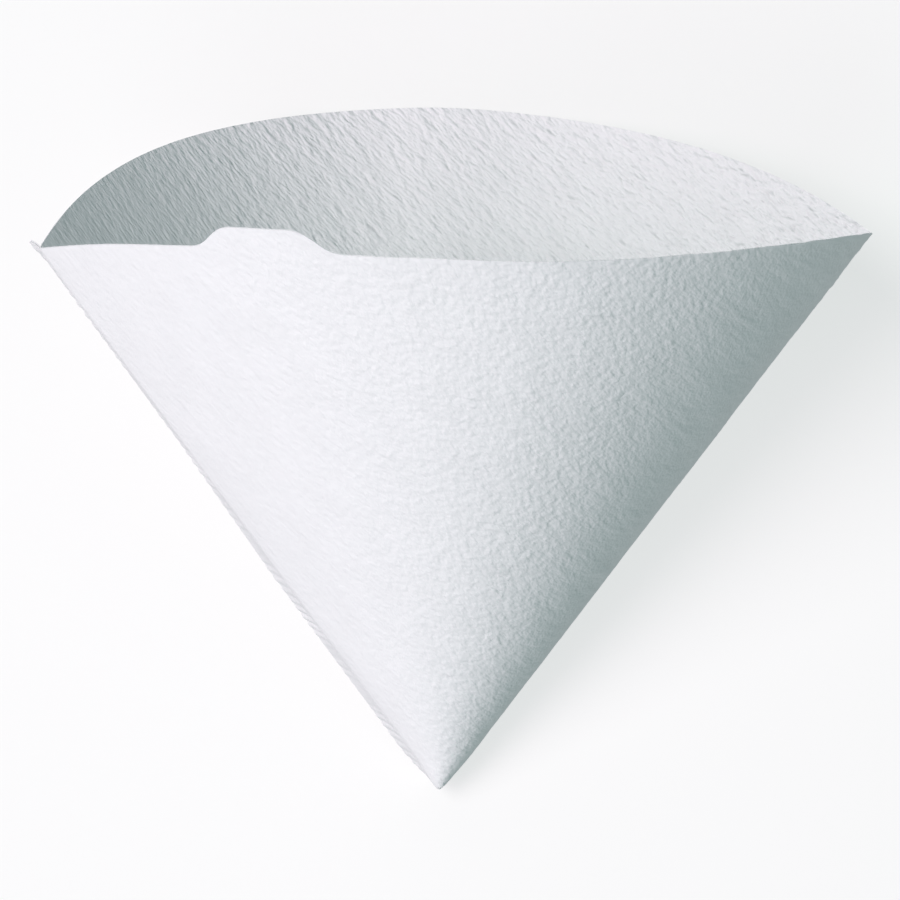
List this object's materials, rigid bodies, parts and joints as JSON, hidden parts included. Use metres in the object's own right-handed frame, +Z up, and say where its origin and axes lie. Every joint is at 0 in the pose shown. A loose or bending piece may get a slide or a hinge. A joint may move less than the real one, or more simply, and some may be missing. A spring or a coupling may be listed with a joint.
{
  "type": "paper coffee filter",
  "caption": "Cone of creped filter paper folded from one sheet, with a crimped seam and a tab on its rim, opened and lying on its side.",
  "frame": {"origin": "centre of the box that holds the filter, at its lowest point, on the table it lies on", "axes": "+Z up from the table, +Y from the tip towards the open mouth, +X across the mouth from the crimped seam towards the fold"},
  "size_m": [0.1466, 0.1254, 0.1014],
  "materials": {
    "filter_paper": "matte creped white paper"
  },
  "bodies": {
    "root": {"filter_paper": "filter_paper"}
  },
  "joints": []
}
